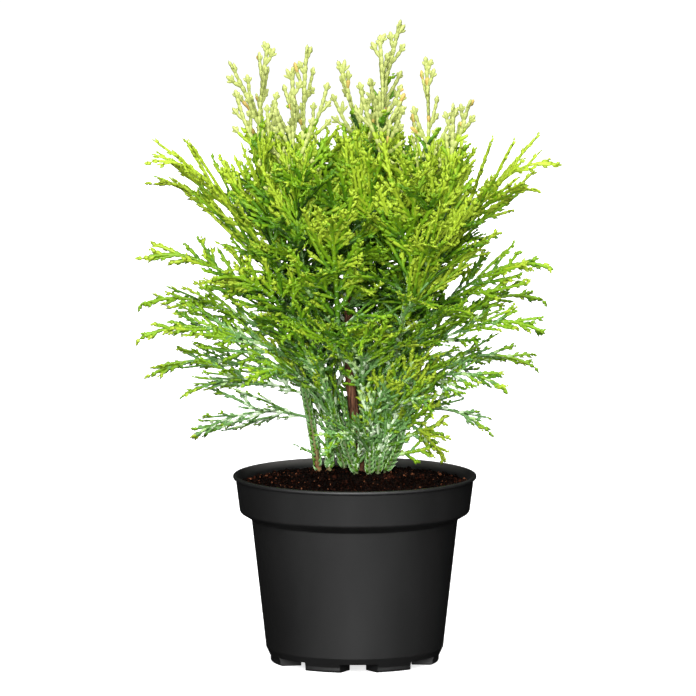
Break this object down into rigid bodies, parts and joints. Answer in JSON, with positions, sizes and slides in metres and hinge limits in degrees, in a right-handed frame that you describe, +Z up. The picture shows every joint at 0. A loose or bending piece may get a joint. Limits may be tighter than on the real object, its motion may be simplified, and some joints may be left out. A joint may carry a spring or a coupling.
{
  "type": "potted arborvitae",
  "caption": "Young evergreen conifer with a slim trunk, upright stems and flat fan-like sprays of scale leaves, growing in a round black nursery pot filled with dark soil.",
  "frame": {"origin": "middle of the pot's flat underside, on the ground", "axes": "+Z up the trunk, +X to the right and -Y to the front of the pictured view"},
  "size_m": [0.2891, 0.2248, 0.45],
  "materials": {
    "pot": "satin",
    "soil": "matte",
    "bark": "matte",
    "stem": "matte",
    "foliage": "matte",
    "new_foliage": "matte"
  },
  "bodies": {
    "root": {"pot": "pot", "soil": "soil", "trunk": "bark", "stem_left": "stem", "stem_mid_left": "stem", "stem_centre_left": "stem", "stem_centre": "stem", "stem_centre_right": "stem", "stem_right": "stem", "stem_back_left": "stem", "stem_back": "stem", "stem_back_right": "stem", "tier1_spray1": "foliage", "tier1_spray2": "foliage", "tier1_spray3": "foliage", "tier1_spray4": "foliage", "tier2_spray1": "foliage", "tier2_spray2": "foliage", "tier2_spray3": "foliage", "tier2_spray4": "foliage", "tier3_spray1": "foliage", "tier3_spray2": "foliage", "tier3_spray3": "foliage", "tier3_spray4": "foliage", "tier4_spray1": "foliage", "tier4_spray2": "foliage", "tier4_spray3": "foliage", "tier4_spray4": "foliage", "tier5_spray1": "foliage", "tier5_spray2": "foliage", "tier5_spray3": "foliage", "tier5_spray4": "foliage", "tier6_spray1": "foliage", "tier6_spray2": "foliage", "tier6_spray3": "foliage", "tier6_spray4": "foliage", "tier7_spray1": "foliage", "tier7_spray2": "foliage", "tier7_spray3": "foliage", "tier7_spray4": "foliage", "tier8_spray1": "foliage", "tier8_spray2": "foliage", "tier8_spray3": "foliage", "tier8_spray4": "foliage", "leader_top": "new_foliage", "leader_left": "new_foliage", "leader_mid_left": "new_foliage", "leader_centre_left": "new_foliage", "leader_front": "new_foliage", "leader_centre_right": "new_foliage", "leader_low_right": "new_foliage", "leader_back_left": "new_foliage", "leader_back": "new_foliage", "leader_back_right": "new_foliage", "leader_inner": "new_foliage", "leader_right": "new_foliage"}
  },
  "joints": []
}
